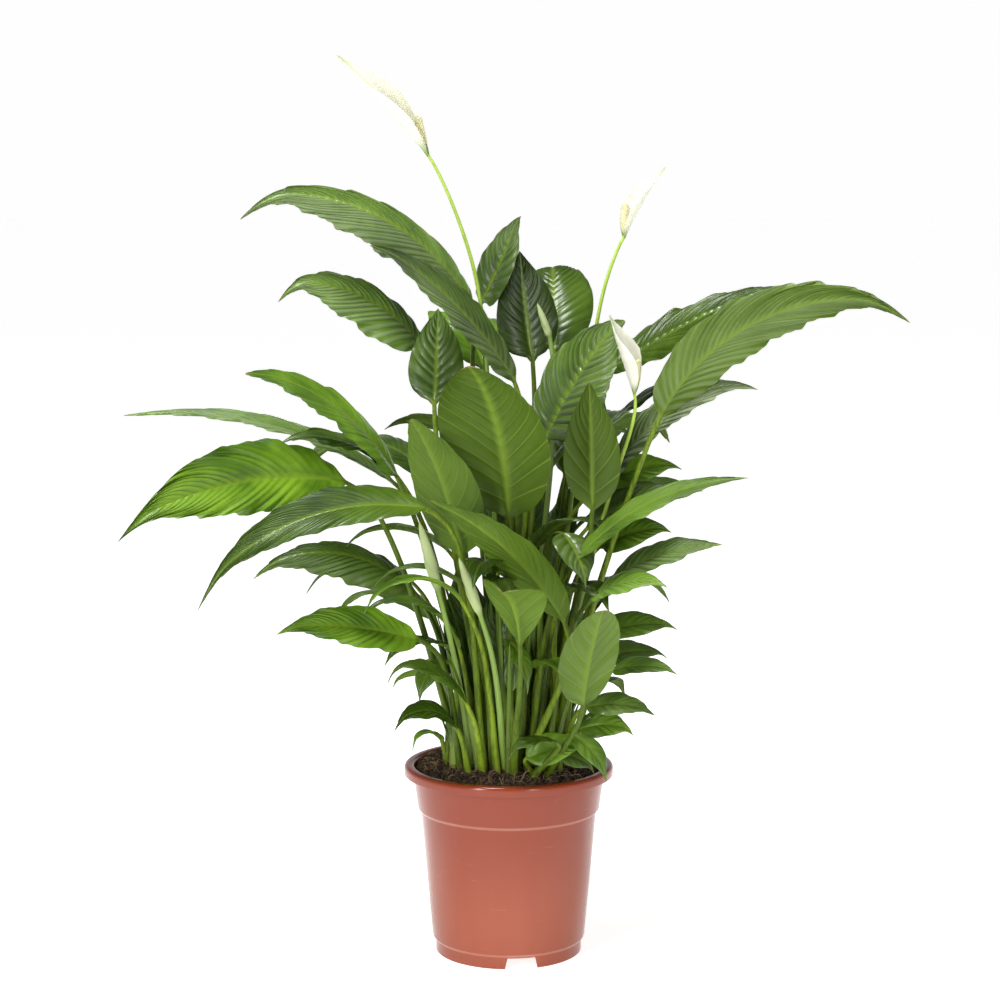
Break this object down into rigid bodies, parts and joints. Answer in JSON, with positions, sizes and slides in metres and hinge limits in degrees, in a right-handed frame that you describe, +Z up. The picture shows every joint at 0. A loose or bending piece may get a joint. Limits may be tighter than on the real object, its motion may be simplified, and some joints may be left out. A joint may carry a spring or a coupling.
{
  "type": "potted peace lily",
  "caption": "Potted peace lily: long arching leaves and pale hooded flowers rising from peat in a round tapered nursery pot with a rolled rim and notched foot.",
  "frame": {"origin": "on the pot's axis, at the level of the foot ring's bottom, which is the bottom centre of the whole plant", "axes": "+Z up along the pot's axis, +X to the right across the wider spread of leaves, -Y to the front"},
  "size_m": [0.6155, 0.3615, 0.7214],
  "materials": {
    "pot_plastic": "satin moulded",
    "peat": "loose moist peat",
    "leaf_deep": "glossy living leaf, dark",
    "leaf_fresh": "glossy living leaf, bright",
    "leaf_pale": "living leaf seen from its matte underside",
    "flower_stalk": "smooth living stalk",
    "spathe": "soft white petal-like hood",
    "spadix": "knobbly flower spike",
    "bud": "closed pale bud on its stalk"
  },
  "bodies": {
    "root": {"pot_rim": "pot_plastic", "pot_wall": "pot_plastic", "pot_floor": "pot_plastic", "pot_foot": "pot_plastic", "soil": "peat", "leaf_high_left": "leaf_fresh", "leaf_upper_left": "leaf_fresh", "leaf_left_reaching": "leaf_deep", "leaf_left_upright": "leaf_deep", "leaf_left_bright": "leaf_fresh", "leaf_left_far": "leaf_fresh", "leaf_left_broad": "leaf_fresh", "leaf_left_dark": "leaf_deep", "leaf_left_arching": "leaf_deep", "leaf_left_drooping": "leaf_deep", "leaf_left_hooked": "leaf_fresh", "leaf_left_striped": "leaf_deep", "leaf_left_low": "leaf_fresh", "leaf_left_low_dark": "leaf_deep", "leaf_left_small": "leaf_deep", "leaf_left_curled": "leaf_fresh", "leaf_top_upright": "leaf_fresh", "leaf_top_dark": "leaf_deep", "leaf_back_round": "leaf_deep", "leaf_glossy_centre": "leaf_fresh", "leaf_front_big": "leaf_pale", "leaf_front_left": "leaf_pale", "leaf_front_crossing": "leaf_pale", "leaf_front_funnel": "leaf_pale", "leaf_front_round": "leaf_pale", "leaf_front_low": "leaf_deep", "leaf_right_big": "leaf_pale", "leaf_right_bright": "leaf_fresh", "leaf_right_behind": "leaf_deep", "leaf_right_striped": "leaf_deep", "leaf_right_olive": "leaf_pale", "leaf_right_olive_back": "leaf_fresh", "leaf_right_long": "leaf_fresh", "leaf_right_low": "leaf_deep", "leaf_right_low_pale": "leaf_fresh", "leaf_right_dark": "leaf_deep", "leaf_right_inner": "leaf_deep", "leaf_right_thin": "leaf_fresh", "leaf_right_under": "leaf_deep", "leaf_back_high": "leaf_fresh", "leaf_back_right": "leaf_deep", "leaf_back_left": "leaf_deep", "leaf_back_middle": "leaf_fresh", "flower_high_stalk": "flower_stalk", "flower_high_spathe": "spathe", "flower_high_spadix": "spadix", "flower_right_stalk": "flower_stalk", "flower_right_spathe": "spathe", "flower_right_spadix": "spadix", "flower_inner_stalk": "flower_stalk", "flower_inner_spathe": "spathe", "flower_inner_spadix": "spadix", "bud_left": "bud", "bud_middle": "bud", "bud_high": "bud"}
  },
  "joints": []
}
